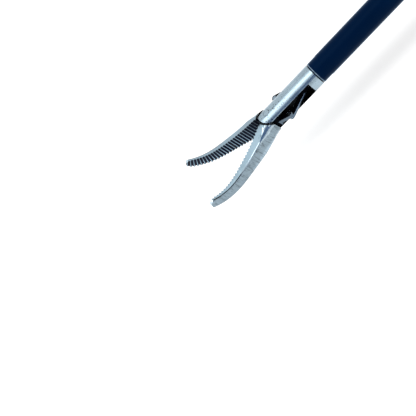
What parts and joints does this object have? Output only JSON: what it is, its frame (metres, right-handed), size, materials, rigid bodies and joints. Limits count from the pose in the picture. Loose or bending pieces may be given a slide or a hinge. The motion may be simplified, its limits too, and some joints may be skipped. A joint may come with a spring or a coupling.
{
  "type": "laparoscopic grasper",
  "caption": "Laparoscopic grasper with curved cross-serrated double-action jaws, insulated shaft, rotation knob, flush port and ring handle.",
  "frame": {"origin": "on the shaft's axis at the front of the nose hub, where the working length starts", "axes": "+X along the shaft towards the jaws; +Z out of the side that lies uppermost on a table, along the jaw pivot at rest; +Y towards the finger rings"},
  "size_m": [0.4524, 0.11, 0.026],
  "materials": {
    "sleeve": "glossy near-black insulating sleeve",
    "shaft_steel": "satin stainless",
    "jaw_steel": "satin stainless with polished edges",
    "pin_steel": "polished stainless pins",
    "link_steel": "dark stainless links",
    "rod_steel": "drawn stainless",
    "hub_plastic": "black moulded",
    "knob_plastic": "dark blue-grey moulded",
    "handle_plastic": "black moulded, fine texture",
    "lever_plastic": "black moulded, fine texture",
    "button_plastic": "blue moulded",
    "seal_rubber": "silicone",
    "guide_plastic": "white fluoropolymer",
    "post_steel": "polished",
    "leaf_bronze": "spring bronze",
    "screw_steel": "stainless screws"
  },
  "bodies": {
    "handle": {"housing_left": "handle_plastic", "housing_right": "handle_plastic", "housing_screws": "screw_steel", "electrode_post": "post_steel", "contact_leaf": "leaf_bronze", "lever_axle": "pin_steel", "lever_washers": "guide_plastic", "button_spring": "rod_steel"},
    "shaft": {"rotation_knob": "knob_plastic", "spindle": "shaft_steel", "spindle_o_ring": "seal_rubber", "rod_seal": "seal_rubber", "nose_hub": "hub_plastic", "flush_port": "hub_plastic", "shaft_tube": "shaft_steel", "insulation_sleeve": "sleeve", "rod_guides": "guide_plastic", "clevis": "shaft_steel", "jaw_pivot_pin": "pin_steel"},
    "lever": {"thumb_lever": "lever_plastic"},
    "rod": {"push_rod": "rod_steel", "rod_barrel": "rod_steel", "rod_end": "rod_steel", "rod_link_pin": "pin_steel"},
    "jaw_upper": {"upper_jaw": "jaw_steel", "upper_rivet": "pin_steel"},
    "jaw_lower": {"lower_jaw": "jaw_steel", "lower_rivet": "pin_steel"},
    "link_upper": {"upper_link": "link_steel"},
    "link_lower": {"lower_link": "link_steel"},
    "latch": {"latch_plate": "shaft_steel", "release_button": "button_plastic"}
  },
  "joints": [
    {"name": "shaft_spin", "type": "hinge", "parent": "handle", "child": "shaft", "pos_m": [-0.05, 0, 0], "axis": [1, 0, 0], "continuous": true},
    {"name": "lever_swing", "type": "hinge", "parent": "handle", "child": "lever", "pos_m": [-0.066, 0.006, 0], "axis": [0, 0, 1], "range_deg": [-9.39, 4.29]},
    {"name": "rod_slide", "type": "slide", "parent": "shaft", "child": "rod", "axis": [1, 0, 0], "range_m": [-0.00099, 0.00046]},
    {"name": "jaw_lower_pivot", "type": "hinge", "parent": "shaft", "child": "jaw_lower", "pos_m": [0.309, 0, 0], "axis": [0, 0, 1], "range_deg": [-17.55, 8.05]},
    {"name": "jaw_upper_pivot", "type": "hinge", "parent": "shaft", "child": "jaw_upper", "pos_m": [0.309, 0, 0], "axis": [0, 0, 1], "range_deg": [-8.05, 17.55]},
    {"name": "link_lower_pivot", "type": "hinge", "parent": "rod", "child": "link_lower", "pos_m": [0.30135, 0, 0], "axis": [0, 0, 1], "range_deg": [-5.2, 11.35]},
    {"name": "link_upper_pivot", "type": "hinge", "parent": "rod", "child": "link_upper", "pos_m": [0.30135, 0, 0], "axis": [0, 0, 1], "range_deg": [-11.35, 5.2]},
    {"name": "release_press", "type": "slide", "parent": "handle", "child": "latch", "axis": [0, 1, 0], "range_m": [0, 0.002], "stiffness_N_per_m": 1000, "springref_m": -0.001, "deforming": ["button_spring"]}
  ],
  "couplings": [
    {"joint": "rod_slide", "follows": "lever_swing", "m_per_rad": 0.006},
    {"joint": "jaw_lower_pivot", "follows": "lever_swing", "ratio": 1.8634},
    {"joint": "jaw_upper_pivot", "follows": "lever_swing", "ratio": -1.8634},
    {"joint": "link_lower_pivot", "follows": "lever_swing", "ratio": -1.2019},
    {"joint": "link_upper_pivot", "follows": "lever_swing", "ratio": 1.2019}
  ]
}
